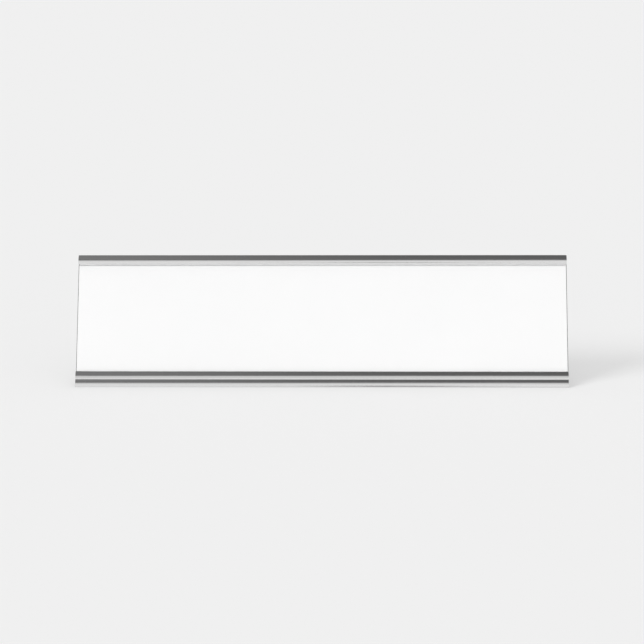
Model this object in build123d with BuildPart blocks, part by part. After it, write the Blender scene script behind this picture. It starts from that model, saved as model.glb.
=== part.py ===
"""Desk name plate: an extruded aluminium holder that leans back, a slide-in name insert and four thin pads.

Millimetres. X runs along the plate, the name faces -Y, Z is up, and the origin is on the desk
under the middle of the base.
"""

import os
from math import acos, atan2, cos, degrees, radians, sin

from build123d import *

# Name insert, a stiff sheet with bevelled edges on its face
insert_length = 254.0
insert_height = 63.5
insert_thickness = 1.6
insert_bevel = 0.4
insert_corner = 0.5

# Room for the insert in the slot
slot_play = 0.2
slot_headroom = 0.4

# Leaning panel of the holder
lean_angle = 24.0
panel_wall = 1.8

# Hooked rail and lip that hold the insert, thickest at the crown of their rounded fronts
crown_wall = 1.8
tip_round = 0.25

# Top rail, whose front runs from a corner under a flat top to a nose that curls in to the insert
rail_wall = 1.6
rail_radius = 4.5
rail_corner_angle = 48.0
rail_corner_round = 0.35
rail_back_round = 1.0
rail_reach = 3.65
rail_tip = 0.36

# Bottom lip with a flat low on its front, and the toe under it
lip_reach = 4.25
lip_tip = 0.65
lip_radius = 4.5
lip_flat = 0.7
lip_under_round = 0.65
lip_root_angle = -75.0
valley_round = 0.15
toe_radius = 5.8
toe_shoulder_angle = 25.0
toe_round = 0.25

# Base
base_depth = 38.1
base_wall = 1.8
rear_round = 0.7
root_fillet = 1.6
end_deburr = 0.1

# Non-slip pads, which stand a little out of two shallow channels under the base
pad_length = 42.0
pad_width = 7.0
pad_stand = 0.05
pad_round = 1.5
pad_side_play = 0.15
pad_end_inset = 7.0
channel_depth = 0.6
channel_edge_inset = 3.0

# Largest share of a wall that the round on one of its edges takes
round_limit = 0.45

# Section of the panel, as distances in front of its back face and up from the slot floor
slot_front = panel_wall + insert_thickness + slot_play
crown_front = slot_front + crown_wall
slot_top = insert_height + slot_headroom

rail_top = slot_top + rail_wall
rail_centre_front = crown_front - rail_radius
rail_centre_height = rail_top - rail_radius * sin(radians(rail_corner_angle))
rail_tip_height = slot_top - rail_reach

# The nose starts square to the insert at the rail's tip and runs smoothly into the front of the rail
nose_centre_front = slot_front + rail_tip
tip_across = nose_centre_front - rail_centre_front
tip_up = rail_tip_height - rail_centre_height
rail_nose = (rail_radius**2 - tip_across**2 - tip_up**2) / (2 * (rail_radius + tip_up))
nose_centre_height = rail_tip_height + rail_nose
nose_angle = degrees(atan2(nose_centre_height - rail_centre_height, tip_across))

lip_centre_front = crown_front - lip_radius
lip_tip_front = slot_front + lip_tip
lip_tip_angle = degrees(acos((lip_tip_front - lip_centre_front) / lip_radius))
lip_centre_height = lip_reach - lip_radius * sin(radians(lip_tip_angle))

# The round under the lip's flat and the toe meet in a tight valley
under_centre_front = crown_front - lip_under_round
under_centre_height = lip_centre_height - lip_flat
valley_front = under_centre_front + lip_under_round * cos(radians(lip_root_angle))
valley_height = under_centre_height + lip_under_round * sin(radians(lip_root_angle))
toe_centre_front = valley_front - toe_radius * cos(radians(toe_shoulder_angle))
toe_centre_height = valley_height - toe_radius * sin(radians(toe_shoulder_angle))

# The panel stands on the base, with the front of the toe half the base depth ahead of the origin
holder_length = insert_length
lean_sin = sin(radians(lean_angle))
lean_cos = cos(radians(lean_angle))
base_bottom = pad_stand
base_top = base_bottom + base_wall
toe_centre_y = toe_radius - base_depth / 2
panel_y = toe_centre_y - toe_centre_height * lean_sin + toe_centre_front * lean_cos
panel_plane = Plane(
    origin=(0, panel_y, base_top),
    x_dir=(0, -lean_cos, lean_sin),
    z_dir=(-1, 0, 0),
)
insert_plane = Plane(
    origin=panel_plane.from_local_coords((panel_wall, insert_height / 2)),
    x_dir=(1, 0, 0),
    z_dir=panel_plane.x_dir,
)
underside = Plane.XY.offset(base_bottom)

# The channels lie the same distance in from the front and the rear of the base
channel_width = pad_width + 2 * pad_side_play
channel_spacing = base_depth - 2 * channel_edge_inset - channel_width
pad_thickness = channel_depth + pad_stand
pad_spacing = holder_length - 2 * pad_end_inset - pad_length

os.makedirs("parts", exist_ok=True)

# Holder: the panel section and the base, extruded together along X
with BuildPart() as holder:
    with BuildSketch(panel_plane) as panel_section:
        with BuildLine():
            rail_crown = CenterArc(
                (rail_centre_front, rail_centre_height),
                rail_radius,
                nose_angle,
                rail_corner_angle - nose_angle,
            )
            rail_curl = CenterArc((nose_centre_front, nose_centre_height), rail_nose, -90, 90 + nose_angle)
            lip_crown = CenterArc((lip_centre_front, lip_centre_height), lip_radius, 0, lip_tip_angle)
            lip_under = CenterArc(
                (under_centre_front, under_centre_height),
                lip_under_round,
                lip_root_angle,
                -lip_root_angle,
            )
            Line(lip_under @ 1, lip_crown @ 0)
            toe_crown = CenterArc(
                (toe_centre_front, toe_centre_height),
                toe_radius,
                -lean_angle,
                lean_angle + toe_shoulder_angle,
            )
            Polyline(
                rail_curl @ 0,
                (slot_front, rail_tip_height),
                (slot_front, slot_top),
                (panel_wall, slot_top),
                (panel_wall, 0),
                (slot_front, 0),
                (slot_front, lip_reach),
                lip_crown @ 1,
            )
            toe_foot = toe_crown @ 0 - base_wall * Vector(lean_sin, lean_cos)
            Polyline(toe_crown @ 0, toe_foot, (0, toe_foot.Y), (0, rail_top), rail_crown @ 1)
        make_face()
        rail_edge = panel_section.vertices().sort_by_distance((slot_front, rail_tip_height))[0]
        fillet(rail_edge, radius=min(tip_round, round_limit * rail_tip))
        corners = panel_section.vertices()
        lip_edges = [corners.sort_by_distance((front, lip_reach))[0] for front in (slot_front, lip_tip_front)]
        fillet(lip_edges, radius=min(tip_round, round_limit * lip_tip))
        valley = panel_section.vertices().sort_by_distance((valley_front, valley_height))[0]
        fillet(valley, radius=valley_round)
        rail_corner = panel_section.vertices().sort_by_distance(rail_crown @ 1)[0]
        fillet(rail_corner, radius=rail_corner_round)
        back_corner = panel_section.vertices().sort_by_distance((0, rail_top))[0]
        fillet(back_corner, radius=rail_back_round)
    extrude(amount=holder_length / 2, both=True)
    with BuildSketch(Plane.YZ) as base_section:
        with Locations((toe_centre_y, base_bottom)):
            Rectangle(base_depth / 2 - toe_centre_y, base_wall, align=(Align.MIN, Align.MIN))
        rear_corners = base_section.vertices().group_by(Axis.X)[-1]
        fillet(rear_corners, radius=min(rear_round, round_limit * base_wall))
    extrude(amount=holder_length / 2, both=True)
    split(bisect_by=underside, keep=Keep.TOP)

    root_edge = holder.edges().filter_by(Axis.X).sort_by_distance(panel_plane.origin)[0]
    fillet(root_edge, radius=root_fillet)
    toe_edge = holder.edges().filter_by(Axis.X).group_by(Axis.Z)[0].sort_by(Axis.Y)[0]
    fillet(toe_edge, radius=toe_round)

    with BuildSketch(underside):
        with GridLocations(0, channel_spacing, 1, 2):
            Rectangle(holder_length, channel_width)
    extrude(amount=channel_depth, mode=Mode.SUBTRACT)

    end_edges = holder.faces().filter_by(Axis.X).edges()
    chamfer(end_edges, length=end_deburr)

holder.part.label = "holder"
export_step(holder.part, "parts/holder.step")

# Name insert, resting on the slot floor and against the panel
with BuildPart() as name_insert:
    with BuildSketch(insert_plane):
        RectangleRounded(insert_length, insert_height, insert_corner)
    extrude(amount=insert_thickness)
    name_face = name_insert.faces().sort_by(Axis(insert_plane.origin, insert_plane.z_dir))[-1]
    chamfer(name_face.edges(), length=insert_bevel)

name_insert.part.label = "name_insert"
export_step(name_insert.part, "parts/name_insert.step")

# Foot pads, one near each end of each channel
for depth_name, depth_side in (("front", -1), ("rear", 1)):
    for end_name, end_side in (("left", -1), ("right", 1)):
        with BuildPart() as foot_pad:
            with BuildSketch():
                with Locations((end_side * pad_spacing / 2, depth_side * channel_spacing / 2)):
                    RectangleRounded(pad_length, pad_width, pad_round)
            extrude(amount=pad_thickness)
        foot_pad.part.label = f"foot_pad_{depth_name}_{end_name}"
        export_step(foot_pad.part, f"parts/{foot_pad.part.label}.step")
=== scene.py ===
from math import atan2, cos, degrees, radians, sin, sqrt

import bmesh
import bpy
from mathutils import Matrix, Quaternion, Vector


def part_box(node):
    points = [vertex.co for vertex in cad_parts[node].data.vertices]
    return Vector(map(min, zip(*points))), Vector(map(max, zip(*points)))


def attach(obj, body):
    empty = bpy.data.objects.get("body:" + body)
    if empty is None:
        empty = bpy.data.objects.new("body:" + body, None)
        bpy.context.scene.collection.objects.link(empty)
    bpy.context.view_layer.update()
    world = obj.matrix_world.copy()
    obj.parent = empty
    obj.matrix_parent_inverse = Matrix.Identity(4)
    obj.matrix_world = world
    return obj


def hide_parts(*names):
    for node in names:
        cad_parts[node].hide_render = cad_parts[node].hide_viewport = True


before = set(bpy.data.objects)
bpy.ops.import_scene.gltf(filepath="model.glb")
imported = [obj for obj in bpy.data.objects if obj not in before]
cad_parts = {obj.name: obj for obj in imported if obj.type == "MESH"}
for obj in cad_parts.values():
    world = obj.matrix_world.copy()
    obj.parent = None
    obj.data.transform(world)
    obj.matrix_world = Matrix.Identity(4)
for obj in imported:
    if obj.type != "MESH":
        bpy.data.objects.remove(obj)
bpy.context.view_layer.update()  # holder, insert and four pads, with the insert on its slide
mm = 0.001
print("frame loaded, nodes:", ", ".join(sorted(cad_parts)))


# small node helpers, shared by the finishes, the floor and the studio

def newMaterial(name):
    material = bpy.data.materials.new(name)
    material.use_nodes = True
    tree = material.node_tree
    tree.nodes.clear()
    output = tree.nodes.new("ShaderNodeOutputMaterial")
    shader = tree.nodes.new("ShaderNodeBsdfPrincipled")
    tree.links.new(shader.outputs["BSDF"], output.inputs["Surface"])
    return material, tree, shader


def stretchedNoise(tree, perMetre, detail=3.0, roughness=0.55, turn=(0, 0, 0)):
    coords = tree.nodes.new("ShaderNodeTexCoord")
    mapping = tree.nodes.new("ShaderNodeMapping")
    mapping.inputs["Rotation"].default_value = [radians(angle) for angle in turn]
    mapping.inputs["Scale"].default_value = perMetre
    noise = tree.nodes.new("ShaderNodeTexNoise")
    noise.inputs["Scale"].default_value = 1.0
    noise.inputs["Detail"].default_value = detail
    noise.inputs["Roughness"].default_value = roughness
    tree.links.new(coords.outputs["Object"], mapping.inputs["Vector"])
    tree.links.new(mapping.outputs["Vector"], noise.inputs["Vector"])
    return noise.outputs["Fac"]


def remap(tree, value, low, high, fromLow=0.3, fromHigh=0.7):
    # the usual range is where most of a noise lies
    node = tree.nodes.new("ShaderNodeMapRange")
    node.inputs["From Min"].default_value = fromLow
    node.inputs["From Max"].default_value = fromHigh
    node.inputs["To Min"].default_value = low
    node.inputs["To Max"].default_value = high
    tree.links.new(value, node.inputs["Value"])
    return node.outputs["Result"]


def combine(tree, operation, first, second):
    node = tree.nodes.new("ShaderNodeMath")
    node.operation = operation
    for socket, value in zip(node.inputs, (first, second)):
        if isinstance(value, (int, float)):
            socket.default_value = value
        else:
            tree.links.new(value, socket)
    return node.outputs["Value"]


def vectorMath(tree, operation, vector, other=(0, 0, 0)):
    node = tree.nodes.new("ShaderNodeVectorMath")
    node.operation = operation
    node.inputs[1].default_value = other
    tree.links.new(vector, node.inputs[0])
    return node.outputs["Value" if operation in ("DOT_PRODUCT", "LENGTH") else "Vector"]


def tint(tree, value, dark, light):
    node = tree.nodes.new("ShaderNodeMix")
    node.data_type = "RGBA"
    node.inputs["A"].default_value = (*dark, 1)
    node.inputs["B"].default_value = (*light, 1)
    tree.links.new(value, node.inputs["Factor"])
    return node.outputs["Result"]


def bump(tree, height, depth, under=None):
    node = tree.nodes.new("ShaderNodeBump")
    node.inputs["Strength"].default_value = 1.0
    node.inputs["Distance"].default_value = depth
    tree.links.new(height, node.inputs["Height"])
    if under is not None:
        tree.links.new(under, node.inputs["Normal"])
    return node.outputs["Normal"]


def dress(tree, shader, roughness, colour, normal):
    tree.links.new(roughness, shader.inputs["Roughness"])
    tree.links.new(colour, shader.inputs["Base Color"])
    tree.links.new(normal, shader.inputs["Normal"])


# finishes: marks are counted per metre along X, Y and Z, and depths are in metres

polish = {
    "dieLines": (5, 2600, 2600),
    "broadLines": (1.5, 420, 420),
    "wipes": (28, 70, 70),
    "roughness": (0.09, 0.14),
    "wipeRoughness": (-0.02, 0.04),
    "dark": (0.77, 0.768, 0.768),
    "light": (0.825, 0.823, 0.823),
    "lineDepth": 3e-6,
    "broadDepth": 6e-6,
}


def polishedAluminium():
    # outside of the extrusion: bright, with die lines along X and faint wipe marks
    material, tree, shader = newMaterial("polished_aluminium")
    dieLines = stretchedNoise(tree, polish["dieLines"], detail=4)
    broadLines = stretchedNoise(tree, polish["broadLines"], detail=2)
    wipes = stretchedNoise(tree, polish["wipes"], detail=5, roughness=0.6)
    lineShine = remap(tree, dieLines, *polish["roughness"])
    shine = combine(tree, "ADD", lineShine, remap(tree, wipes, *polish["wipeRoughness"]))
    colour = tint(tree, remap(tree, broadLines, 0, 1), polish["dark"], polish["light"])
    fine = bump(tree, dieLines, polish["lineDepth"])
    dress(tree, shader, shine, colour, bump(tree, broadLines, polish["broadDepth"], fine))
    shader.inputs["Metallic"].default_value = 1.0
    return material


mill = {
    "dieLines": (4, 1900, 1900),
    "rubs": (16, 900, 900),
    "roughness": (0.3, 0.44),
    "rubShine": (0, 0.1),        # how much smoother the rubbed lines are
    "rubStart": (0.55, 0.75),    # only the strongest rubs count
    "dark": (0.68, 0.685, 0.69),
    "light": (0.78, 0.78, 0.78),
    "lineDepth": 5e-6,
}


def millAluminium():
    # slot and underside: left as it came out of the die, rubbed along X by the insert
    material, tree, shader = newMaterial("mill_aluminium")
    dieLines = stretchedNoise(tree, mill["dieLines"], detail=5)
    rubs = stretchedNoise(tree, mill["rubs"], detail=2)
    lineShine = remap(tree, dieLines, *mill["roughness"])
    shine = combine(tree, "SUBTRACT", lineShine, remap(tree, rubs, *mill["rubShine"], *mill["rubStart"]))
    colour = tint(tree, remap(tree, rubs, 0, 1), mill["dark"], mill["light"])
    dress(tree, shader, shine, colour, bump(tree, dieLines, mill["lineDepth"]))
    shader.inputs["Metallic"].default_value = 1.0
    return material


sawn = {
    "marks": (200, 260, 7000),
    "drag": (200, 90, 900),
    "slant": (32, 0, 0),         # degrees
    "roughness": (0.3, 0.5),
    "dark": (0.5, 0.505, 0.51),
    "light": (0.64, 0.64, 0.64),
    "markDepth": 8e-6,
}


def sawnAluminium():
    # cut ends: slanted blade marks, duller and rougher than the outside
    material, tree, shader = newMaterial("sawn_aluminium")
    marks = stretchedNoise(tree, sawn["marks"], detail=3, turn=sawn["slant"])
    drag = stretchedNoise(tree, sawn["drag"], detail=2, turn=sawn["slant"])
    shine = remap(tree, marks, *sawn["roughness"])
    colour = tint(tree, remap(tree, drag, 0, 1), sawn["dark"], sawn["light"])
    dress(tree, shader, shine, colour, bump(tree, marks, sawn["markDepth"]))
    shader.inputs["Metallic"].default_value = 1.0
    return material


whiteCap = {
    "peel": (1500, 1500, 1500),
    "cloud": (22, 22, 22),
    "roughness": (0.38, 0.46),
    "dark": (0.885, 0.885, 0.885),
    "light": (0.9, 0.9, 0.9),
    "peelDepth": 1.5e-6,
}


def whiteSatin():
    # face of the insert: a smooth white cap with a faint orange peel
    material, tree, shader = newMaterial("white_satin")
    peel = stretchedNoise(tree, whiteCap["peel"], detail=2)
    cloud = stretchedNoise(tree, whiteCap["cloud"], detail=3)
    shine = remap(tree, cloud, *whiteCap["roughness"])
    colour = tint(tree, remap(tree, cloud, 0, 1), whiteCap["dark"], whiteCap["light"])
    dress(tree, shader, shine, colour, bump(tree, peel, whiteCap["peelDepth"]))
    return material


core = {
    "marks": (900, 2400, 2400),
    "roughness": (0.48, 0.6),
    "dark": (0.035, 0.035, 0.036),
    "light": (0.055, 0.055, 0.057),
    "markDepth": 4e-6,
}


def blackCore():
    # back and edges of the insert: black core with milling marks
    material, tree, shader = newMaterial("black_core")
    marks = stretchedNoise(tree, core["marks"], detail=3)
    shine = remap(tree, marks, *core["roughness"])
    colour = tint(tree, remap(tree, marks, 0, 1), core["dark"], core["light"])
    dress(tree, shader, shine, colour, bump(tree, marks, core["markDepth"]))
    return material


rubber = {
    "grain": (5200, 5200, 5200),
    "roughness": (0.72, 0.88),
    "dark": (0.03, 0.03, 0.032),
    "light": (0.06, 0.06, 0.063),
    "grainDepth": 3e-5,
}


def padRubber():
    # matt black non-slip sheet with a fine open grain
    material, tree, shader = newMaterial("pad_rubber")
    grain = stretchedNoise(tree, rubber["grain"], detail=4, roughness=0.65)
    shine = remap(tree, grain, *rubber["roughness"])
    colour = tint(tree, remap(tree, grain, 0, 1), rubber["dark"], rubber["light"])
    dress(tree, shader, shine, colour, bump(tree, grain, rubber["grainDepth"]))
    return material


# shapes

def frontArc(centre, radius, start, end, step):
    # angles in degrees from the front (-Y) up: 90 faces up, 180 back, -90 down
    count = max(1, round(abs(end - start) / step))
    angles = [radians(start + (end - start) * i / count) for i in range(count + 1)]
    return [(centre[0] - radius * cos(angle), centre[1] + radius * sin(angle)) for angle in angles]


def dropRepeats(points, least=1e-4):
    kept = []
    for y, z in points:
        if not kept or abs(y - kept[-1][0]) + abs(z - kept[-1][1]) > least:
            kept.append((y, z))
    if abs(kept[0][0] - kept[-1][0]) + abs(kept[0][1] - kept[-1][1]) <= least:
        kept.pop()
    return kept


def insetOutline(points, depth):
    # moves each point into the material, along the mitre of its two edges
    moved = []
    for i, point in enumerate(points):
        here = Vector(point)
        first = (here - Vector(points[i - 1])).normalized()
        second = (Vector(points[(i + 1) % len(points)]) - here).normalized()
        firstIn, secondIn = Vector((-first.y, first.x)), Vector((-second.y, second.x))
        mitre = (firstIn + secondIn) / (1 + firstIn.dot(secondIn))
        moved.append(tuple(here + depth * mitre))
    return moved


def outlineArea(points):
    pairs = zip(points, points[1:] + points[:1])
    return sum(here[0] * ahead[1] - ahead[0] * here[1] for here, ahead in pairs) / 2


def finishMesh(name, mesh, materials, sharpAngle=30.0):
    bmesh.ops.recalc_face_normals(mesh, faces=mesh.faces)
    data = bpy.data.meshes.new(name)
    mesh.to_mesh(data)
    mesh.free()
    data.set_sharp_from_angle(angle=radians(sharpAngle))
    for material in materials:
        data.materials.append(material)
    piece = bpy.data.objects.new(name, data)
    bpy.context.scene.collection.objects.link(piece)
    return piece


# holder: the section of the extrusion, in mm and degrees
holder = {
    "lean": 24.0,
    "panelWall": 1.8,
    "slotWidth": 1.8,
    "slotHeight": 63.9,
    "crownWall": 1.8,        # rail and lip in front of the slot, at their thickest
    "tipRound": 0.25,
    "tipLimit": 0.45,        # largest share of the rail's tip that its round takes
    "railWall": 1.6,
    "railRadius": 4.5,
    "railCornerAngle": 48.0,
    "railCornerRound": 0.35,
    "railBackRound": 1.0,
    "railReach": 3.65,       # down over the insert
    "railTip": 0.36,
    "lipReach": 4.25,        # up over the insert
    "lipTip": 0.65,
    "lipRadius": 4.5,
    "lipFlat": 0.7,
    "lipUnderRound": 0.65,
    "lipRootAngle": -75.0,
    "valleyRound": 0.15,     # between lip and toe
    "toeRadius": 5.8,
    "toeShoulderAngle": 25.0,
    "toeRound": 0.25,
    "baseWall": 1.8,
    "rearRound": 0.7,
    "rootFillet": 1.6,
    "channelDepth": 0.6,
    "channelWidth": 7.3,
    "channelInset": 3.0,
    "endRound": 0.1,
    "endSteps": 3,
    "endStrip": 0.6,         # ends the shading of the rounded ends, so that the long faces stay straight
    "wideStep": 3.0,         # degrees from point to point on the widest rounds, and then on smaller ones
    "middleStep": 6.0,
    "narrowStep": 9.0,
    "tightStep": 15.0,
    "slack": 0.05,           # room when faces are sorted by finish
    "sharpAngle": 32.0,
}


def panelFrame():
    # where the panel's back face meets the base, in mm, the centres of the section's arcs on the panel,
    # and the radius of the nose that runs from the rail's front to its tip
    size = holder
    low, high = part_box("holder")
    slotFront = size["panelWall"] + size["slotWidth"]
    crown = slotFront + size["crownWall"]
    railTop = size["slotHeight"] + size["railWall"]
    railDrop = size["railRadius"] * sin(radians(size["railCornerAngle"]))
    rail = (crown - size["railRadius"], railTop - railDrop)
    tip = (slotFront + size["railTip"], size["slotHeight"] - size["railReach"])
    across, up = tip[0] - rail[0], tip[1] - rail[1]
    noseRadius = (size["railRadius"] ** 2 - across ** 2 - up ** 2) / (2 * (size["railRadius"] + up))
    nose = (tip[0], tip[1] + noseRadius)
    lipAcross = slotFront + size["lipTip"] - crown + size["lipRadius"]
    lip = (crown - size["lipRadius"], size["lipReach"] - sqrt(size["lipRadius"] ** 2 - lipAcross ** 2))
    under = (crown - size["lipUnderRound"], lip[1] - size["lipFlat"])
    root, shoulder = radians(size["lipRootAngle"]), radians(size["toeShoulderAngle"])
    toe = (under[0] + size["lipUnderRound"] * cos(root) - size["toeRadius"] * cos(shoulder),
           under[1] + size["lipUnderRound"] * sin(root) - size["toeRadius"] * sin(shoulder))
    lean = radians(size["lean"])
    toeY = size["toeRadius"] - high.y / mm
    foot = (toeY - toe[1] * sin(lean) + toe[0] * cos(lean), low.z / mm + size["baseWall"])
    return foot, {"rail": rail, "nose": nose, "lip": lip, "under": under, "toe": toe}, noseRadius


panelFoot, centres, railNose = panelFrame()


def onPanel(front, up):
    # a place on the section: mm in front of the panel's back face, and mm up from the slot floor
    lean = radians(holder["lean"])
    y = panelFoot[0] + up * sin(lean) - front * cos(lean)
    return y, panelFoot[1] + up * cos(lean) + front * sin(lean)


def panelArc(centre, radius, start, end, step):
    # an arc given on the panel, with its angles from the panel's own front
    lean = holder["lean"]
    return frontArc(onPanel(*centre), radius, lean + start, lean + end, step)


def edgeRounding(centre, radius, edgeUp, small):
    # centre of the round between a crown and the flat edge above it, and the crown's angle where they meet
    up = edgeUp - small
    front = centre[0] + sqrt((radius - small) ** 2 - (up - centre[1]) ** 2)
    return (front, up), degrees(atan2(up - centre[1], front - centre[0]))


def valleyRounding():
    # centre of the round in the valley, which touches the lip's under round and the toe from outside,
    # and the angles on the toe and on that round where it starts and ends
    under, toe, small = Vector(centres["under"]), Vector(centres["toe"]), holder["valleyRound"]
    toUnder, toToe = holder["lipUnderRound"] + small, holder["toeRadius"] + small
    along = under - toe
    share = (toToe ** 2 - toUnder ** 2 + along.length_squared) / (2 * along.length)
    across = sqrt(toToe ** 2 - share ** 2)
    way = along.normalized()
    valley = toe + share * way + across * Vector((way.y, -way.x))
    angles = [degrees(atan2(valley.y - centre.y, valley.x - centre.x)) for centre in (toe, under)]
    return tuple(valley), angles


def railPoints():
    # over the top rail, from its tip to the back of the panel
    size = holder
    rail, nose = centres["rail"], centres["nose"]
    railTop = size["slotHeight"] + size["railWall"]
    corner, back = size["railCornerRound"], size["railBackRound"]
    noseEnd = degrees(atan2(nose[1] - rail[1], nose[0] - rail[0]))
    cornerCentre, cornerStart = edgeRounding(rail, size["railRadius"], railTop, corner)
    points = panelArc(nose, railNose, -90, noseEnd, size["wideStep"])
    points += panelArc(rail, size["railRadius"], noseEnd, cornerStart, size["wideStep"])
    points += panelArc(cornerCentre, corner, cornerStart, 90, size["narrowStep"])
    points += panelArc((back, railTop - back), back, 90, 180, size["middleStep"])
    return points


def basePoints():
    # down into the root of the panel, round the rear of the base and forward across the two pad channels
    size = holder
    low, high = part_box("holder")
    bottom, rear = low.z / mm, high.y / mm
    top = bottom + size["baseWall"]
    fillet, rearRound, lean = size["rootFillet"], size["rearRound"], size["lean"]
    filletAcross = (fillet + fillet * sin(radians(lean))) / cos(radians(lean))
    points = frontArc((panelFoot[0] + filletAcross, top + fillet), fillet, lean, -90, size["middleStep"])
    points += frontArc((rear - rearRound, top - rearRound), rearRound, 90, 180, size["narrowStep"])
    points += frontArc((rear - rearRound, bottom + rearRound), rearRound, 180, 270, size["narrowStep"])
    rearChannel = rear - size["channelInset"]
    for far in (rearChannel, size["channelWidth"] - rearChannel):
        near = far - size["channelWidth"]
        points += [(far, bottom), (far, bottom + size["channelDepth"])]
        points += [(near, bottom + size["channelDepth"]), (near, bottom)]
    return points


def lipPoints():
    # up over the toe and the bottom lip, to the slot
    size = holder
    small, reach = size["tipRound"], size["lipReach"]
    slotFront = size["panelWall"] + size["slotWidth"]
    lipCentre, lipEnd = edgeRounding(centres["lip"], size["lipRadius"], reach, small)
    valley, (toeEnd, underStart) = valleyRounding()
    toeCentre = onPanel(*centres["toe"])
    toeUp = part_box("holder")[0].z / mm + size["toeRound"] - toeCentre[1]
    toeAcross = sqrt((size["toeRadius"] - size["toeRound"]) ** 2 - toeUp ** 2)
    toeStart = degrees(atan2(toeUp, toeAcross))
    footCentre = (toeCentre[0] - toeAcross, toeCentre[1] + toeUp)
    points = frontArc(footCentre, size["toeRound"], -90, toeStart, size["narrowStep"])
    points += frontArc(toeCentre, size["toeRadius"], toeStart, size["lean"] + toeEnd, size["wideStep"])
    points += panelArc(valley, size["valleyRound"], toeEnd + 180, underStart + 180, size["tightStep"])
    points += panelArc(centres["under"], size["lipUnderRound"], underStart, 0, size["middleStep"])
    points += panelArc(centres["lip"], size["lipRadius"], 0, lipEnd, size["wideStep"])
    points += panelArc(lipCentre, small, lipEnd, 90, size["tightStep"])
    points += panelArc((slotFront + small, reach - small), small, 90, 180, size["tightStep"])
    return points


def slotPoints():
    # round the inside of the slot, to the rail's tip
    size = holder
    back, top = size["panelWall"], size["slotHeight"]
    front = back + size["slotWidth"]
    small = min(size["tipRound"], size["tipLimit"] * size["railTip"])
    points = [onPanel(front, 0), onPanel(back, 0), onPanel(back, top), onPanel(front, top)]
    tipCentre = (front + small, top - size["railReach"] + small)
    return points + panelArc(tipCentre, small, 180, 270, size["tightStep"])


def holderOutline():
    return dropRepeats(railPoints() + basePoints() + lipPoints() + slotPoints())


def isBare(first, second):
    # true on the slot's own faces and under the base behind the toe, which are never polished
    size, slack, lean = holder, holder["slack"], radians(holder["lean"])
    middleY, middleZ = (first[0] + second[0]) / 2, (first[1] + second[1]) / 2
    y, z = middleY - panelFoot[0], middleZ - panelFoot[1]
    front, up = z * sin(lean) - y * cos(lean), y * sin(lean) + z * cos(lean)
    inDepth = size["panelWall"] - slack < front < size["panelWall"] + size["slotWidth"] + slack
    inSlot = inDepth and -slack < up < size["slotHeight"] + slack
    behindToe = middleY > onPanel(*centres["toe"])[0]
    underBase = z < slack + size["channelDepth"] - size["baseWall"]
    return inSlot or (underBase and behindToe)


def makeHolder():
    outline = holderOutline()
    if outlineArea(outline) < 0:
        outline.reverse()
    low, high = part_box("holder")
    steps, edge = holder["endSteps"], holder["endRound"]
    stations = []
    for i in range(steps + 1):
        turn = radians(90 * i / steps)
        stations.append((edge * (1 - cos(turn)) * mm, insetOutline(outline, edge * (1 - sin(turn)))))
    stations.append((holder["endStrip"] * mm, outline))
    rings = [(low.x + inward, section) for inward, section in stations]
    rings += [(high.x - inward, section) for inward, section in reversed(stations)]

    mesh = bmesh.new()
    loops = [[mesh.verts.new((x, y * mm, z * mm)) for y, z in section] for x, section in rings]
    count = len(outline)
    for first, second in zip(loops, loops[1:]):
        for i in range(count):
            j = (i + 1) % count
            face = mesh.faces.new((first[i], first[j], second[j], second[i]))
            face.smooth = True
            face.material_index = 1 if isBare(outline[i], outline[j]) else 0
    for loop in (loops[0], loops[-1]):
        cap = mesh.faces.new(loop)
        cap.material_index = 2
    metals = [polishedAluminium(), millAluminium(), sawnAluminium()]
    piece = finishMesh("holder_extrusion", mesh, metals, holder["sharpAngle"])
    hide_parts("holder")
    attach(piece, "holder")
    return piece


# insert: a two-ply sheet, white cap over a black core, in mm
insert = {
    "height": 63.5,
    "thickness": 1.6,
    "bevel": 0.4,
    "cap": 0.12,             # thickness of the white layer, which the bevel cuts through
    "cornerRound": 0.5,
    "backRound": 0.12,
    "cornerSteps": 6,
    "sharpAngle": 25.0,
}


def roundedRectangle(width, height, radius, steps):
    points = []
    for side, (right, up) in enumerate(((1, 1), (-1, 1), (-1, -1), (1, -1))):
        centre = (right * (width / 2 - radius), up * (height / 2 - radius))
        for i in range(steps + 1):
            turn = radians(90 * side + 90 * i / steps)
            points.append((centre[0] + radius * cos(turn), centre[1] + radius * sin(turn)))
    return points


def stackRings(mesh, rings, materialOf):
    # closed solid from rings with the same number of points, capped at both ends
    loops = [[mesh.verts.new(point) for point in ring] for ring in rings]
    count = len(rings[0])
    for level, (first, second) in enumerate(zip(loops, loops[1:])):
        for i in range(count):
            j = (i + 1) % count
            face = mesh.faces.new((first[i], first[j], second[j], second[i]))
            face.smooth = True
            face.material_index = materialOf(level)
    mesh.faces.new(loops[0]).material_index = materialOf(0)
    mesh.faces.new(loops[-1]).material_index = materialOf(len(loops) - 2)


def makeInsert():
    size = insert
    low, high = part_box("name_insert")
    length, height, thickness = (high.x - low.x) / mm, size["height"], size["thickness"]
    # depth above the back face, and how far the edge is drawn in there
    levels = [(0, size["backRound"]), (size["backRound"], 0), (thickness - size["bevel"], 0)]
    levels += [(thickness - size["cap"], size["bevel"] - size["cap"]), (thickness, size["bevel"])]
    rings = []
    for depth, drawnIn in levels:
        ring = []
        sides = (length - 2 * drawnIn, height - 2 * drawnIn)
        for x, up in roundedRectangle(*sides, size["cornerRound"], size["cornerSteps"]):
            y, z = onPanel(holder["panelWall"] + depth, up + height / 2)
            ring.append((x * mm, y * mm, z * mm))
        rings.append(ring)
    mesh = bmesh.new()
    stackRings(mesh, rings, lambda level: 1 if level == len(levels) - 2 else 0)
    piece = finishMesh("insert_sheet", mesh, [blackCore(), whiteSatin()], size["sharpAngle"])
    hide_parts("name_insert")
    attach(piece, "insert")
    return piece


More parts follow.
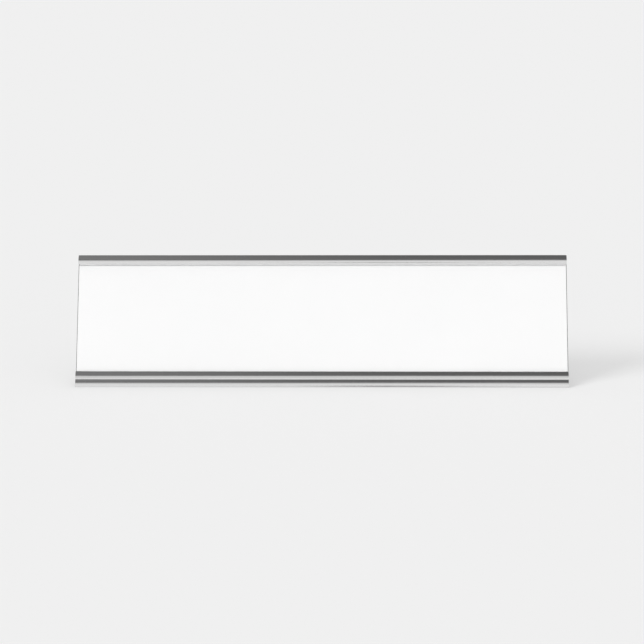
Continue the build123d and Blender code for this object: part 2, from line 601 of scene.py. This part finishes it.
# foot pads: die-cut from sheet, in mm
pads = {
    "cornerRound": 1.5,
    "cornerSteps": 8,
    "edgeRound": 0.12,
    "edgeMiddle": 0.3,       # share of the edge's round that is left half way round it
}


def makePad(node, grip):
    low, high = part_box(node)
    width, depth, top = [(end - start) / mm for start, end in zip(low, high)]
    middle = (low + high) / 2
    edge = pads["edgeRound"]
    halfWay = edge * pads["edgeMiddle"]
    levels = [(0, edge), (halfWay, halfWay), (edge, 0), (top - edge, 0), (top, edge)]
    rings = []
    for up, drawnIn in levels:
        sides = (width - 2 * drawnIn, depth - 2 * drawnIn)
        outline = roundedRectangle(*sides, pads["cornerRound"], pads["cornerSteps"])
        rings.append([(middle.x + x * mm, middle.y + y * mm, low.z + up * mm) for x, y in outline])
    mesh = bmesh.new()
    stackRings(mesh, rings, lambda level: 0)
    piece = finishMesh(node.replace("foot_pad", "grip_pad"), mesh, [grip])
    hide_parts(node)
    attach(piece, "holder")
    return piece


plate = [makeHolder()]
print("holder extrusion made")
plate.append(makeInsert())
print("insert sheet made")
gripRubber = padRubber()
padNodes = [name for name in sorted(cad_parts) if name.startswith("foot_pad")]
for padNode in padNodes:
    plate.append(makePad(padNode, gripRubber))
print("grip pads made:", len(padNodes))


# stage: pale floor without an edge in view
stage = {
    "floorGrey": 0.82,
    "halfSize": 40.0,        # metres
    "backdrop": 0.871,       # what the camera sees beyond the floor
    "glow": 1.0,             # white that the camera and the metal see in the floor, which keeps its shadow
    "glowShare": 0.35,
}


def makeFloor():
    size = stage["halfSize"]
    mesh = bmesh.new()
    corners = ((-1, -1), (1, -1), (1, 1), (-1, 1))
    mesh.faces.new([mesh.verts.new((x * size, y * size, 0)) for x, y in corners])
    material, tree, shader = newMaterial("pale_floor")
    grey = stage["floorGrey"]
    shader.inputs["Base Color"].default_value = (grey, grey, grey, 1)
    shader.inputs["Roughness"].default_value = 1.0
    shader.inputs["Specular IOR Level"].default_value = 0.0
    path = tree.nodes.new("ShaderNodeLightPath")
    glow = tree.nodes.new("ShaderNodeEmission")
    glow.inputs["Strength"].default_value = stage["glow"]
    mix = tree.nodes.new("ShaderNodeMixShader")
    seen = path.outputs["Is Camera Ray"]
    for ray in ("Is Glossy Ray", "Is Transmission Ray"):
        seen = combine(tree, "MAXIMUM", seen, path.outputs[ray])
    tree.links.new(combine(tree, "MULTIPLY", seen, stage["glowShare"]), mix.inputs["Fac"])
    tree.links.new(shader.outputs["BSDF"], mix.inputs[1])
    tree.links.new(glow.outputs["Emission"], mix.inputs[2])
    output = next(node for node in tree.nodes if node.type == "OUTPUT_MATERIAL")
    tree.links.new(mix.outputs["Shader"], output.inputs["Surface"])
    floor = finishMesh("floor", mesh, [material])
    return floor


# studio: soft light from all round, and what the metal mirrors of it
# heights and sides are the parts of a direction of length 1
studio = {
    "fill": 0.722,
    "ceilingTilt": 10.0,             # degrees that the dark ceiling leans to the back
    "sides": (-0.15, 0.1),           # between these it comes down to the left
    "sideDrop": (0.04, -0.027),
    "greys": ((0.0, 0.9), (0.27, 0.88), (0.34, 0.85), (0.37, 0.76), (0.39, 0.68), (0.54, 0.66),
              (0.565, 0.32), (0.59, 0.17), (0.7, 0.15), (0.8, 0.145), (1.0, 0.14)),  # height, and grey there
    "liftSides": (-0.13, 0.011),     # between these it gets brighter to the left
    "lift": (1.6, 0.95),
    "liftStart": (0.62, 0.75),       # heights over which that starts
    # the camera on its stand, mirrored as a dark upright spot with a soft edge
    "spot": {"right": 0.7, "up": 8.0, "reach": (0.042, 1.0, 0.2), "core": 0.4, "grey": 0.05},
}


def towards(left, up):
    # a direction, in degrees left of the front and up from the floor
    left, up = radians(left), radians(up)
    return Vector((-sin(left) * cos(up), -cos(left) * cos(up), sin(up)))


def mirroredStudio(tree):
    # pale low down and dark overhead
    way = tree.nodes.new("ShaderNodeTexCoord").outputs["Generated"]
    across = vectorMath(tree, "DOT_PRODUCT", way, (1, 0, 0))
    tilt = radians(studio["ceilingTilt"])
    height = vectorMath(tree, "DOT_PRODUCT", way, (0, sin(tilt), cos(tilt)))
    height = combine(tree, "ADD", height, remap(tree, across, *studio["sideDrop"], *studio["sides"]))
    ramp = tree.nodes.new("ShaderNodeValToRGB")
    stops = ramp.color_ramp.elements
    while len(stops) < len(studio["greys"]):
        stops.new(1.0)
    for stop, (place, grey) in zip(stops, studio["greys"]):
        stop.position = place
        stop.color = (grey, grey, grey, 1)
    tree.links.new(height, ramp.inputs["Fac"])

    # brighter to the left, overhead
    lift = combine(tree, "SUBTRACT", remap(tree, across, *studio["lift"], *studio["liftSides"]), 1.0)
    lift = combine(tree, "MULTIPLY", lift, remap(tree, height, 0, 1, *studio["liftStart"]))
    mirrored = combine(tree, "MULTIPLY", ramp.outputs["Color"], combine(tree, "ADD", lift, 1.0))

    # dark where the camera stands
    spot = studio["spot"]
    fromSpot = vectorMath(tree, "SUBTRACT", way, towards(-spot["right"], spot["up"]))
    fromSpot = vectorMath(tree, "DIVIDE", fromSpot, spot["reach"])
    shade = remap(tree, vectorMath(tree, "LENGTH", fromSpot), spot["grey"], 1.0, spot["core"], 1.0)
    return combine(tree, "MULTIPLY", mirrored, shade)


def makeWorld():
    world = bpy.data.worlds.new("studio")
    bpy.context.scene.world = world
    world.use_nodes = True
    tree = world.node_tree
    tree.nodes.clear()

    # the mirrored studio for glossy rays, an even fill for the rest, and the plain backdrop for the camera
    path = tree.nodes.new("ShaderNodeLightPath")
    toMirrored = combine(tree, "SUBTRACT", mirroredStudio(tree), studio["fill"])
    toMirrored = combine(tree, "MULTIPLY", toMirrored, path.outputs["Is Glossy Ray"])
    level = combine(tree, "ADD", toMirrored, studio["fill"])
    toBackdrop = combine(tree, "SUBTRACT", stage["backdrop"], level)
    toBackdrop = combine(tree, "MULTIPLY", toBackdrop, path.outputs["Is Camera Ray"])
    background = tree.nodes.new("ShaderNodeBackground")
    output = tree.nodes.new("ShaderNodeOutputWorld")
    tree.links.new(combine(tree, "ADD", level, toBackdrop), background.inputs["Color"])
    tree.links.new(background.outputs["Background"], output.inputs["Surface"])


# lamps: suns, in degrees left of the front and up from the floor
lamps = {
    "key": {"left": 62.0, "up": 33.0, "strength": 1.47, "spread": 30.0},   # draws the shadow on the floor
    "front": {"left": 20.0, "up": 43.0, "strength": 1.22, "spread": 8.0},  # lights the plate
}


def makeLamp(name, lit):
    settings = lamps[name]
    sun = bpy.data.lights.new(name, "SUN")
    sun.energy = settings["strength"]
    sun.angle = radians(settings["spread"])
    lamp = bpy.data.objects.new(name, sun)
    direction = towards(settings["left"], settings["up"])
    lamp.location = direction
    lamp.rotation_euler = direction.to_track_quat("Z", "Y").to_euler()
    lamp.visible_glossy = False  # the metal mirrors the studio, not the lamp
    receivers = bpy.data.collections.new("lit_by_" + name)
    for piece in lit:
        receivers.objects.link(piece)
    lamp.light_linking.receiver_collection = receivers
    bpy.context.scene.collection.objects.link(lamp)


# camera: degrees, metres, lens and sensor in mm
view = {
    "right": 1.4,
    "up": 13.8,
    "roll": -0.31,
    "distance": 1.03,
    "lens": 110.8,
    "sensor": 36.0,
    "aim": (0.09, 0.0, 29.99),  # mm
}


def makeCamera():
    direction = towards(-view["right"], view["up"])
    roll = Quaternion((0, 0, 1), radians(view["roll"]))
    camera = bpy.data.objects.new("camera", bpy.data.cameras.new("camera"))
    camera.data.sensor_width = view["sensor"]
    camera.data.lens = view["lens"]
    camera.location = Vector(view["aim"]) * mm + direction * view["distance"]
    camera.rotation_euler = (direction.to_track_quat("Z", "Y") @ roll).to_euler()
    bpy.context.scene.collection.objects.link(camera)
    bpy.context.scene.camera = camera


floor = makeFloor()
makeWorld()
makeLamp("key", [floor])
makeLamp("front", plate)
makeCamera()
bpy.context.scene.view_settings.view_transform = "Standard"
print("floor, studio, lamps and camera set")
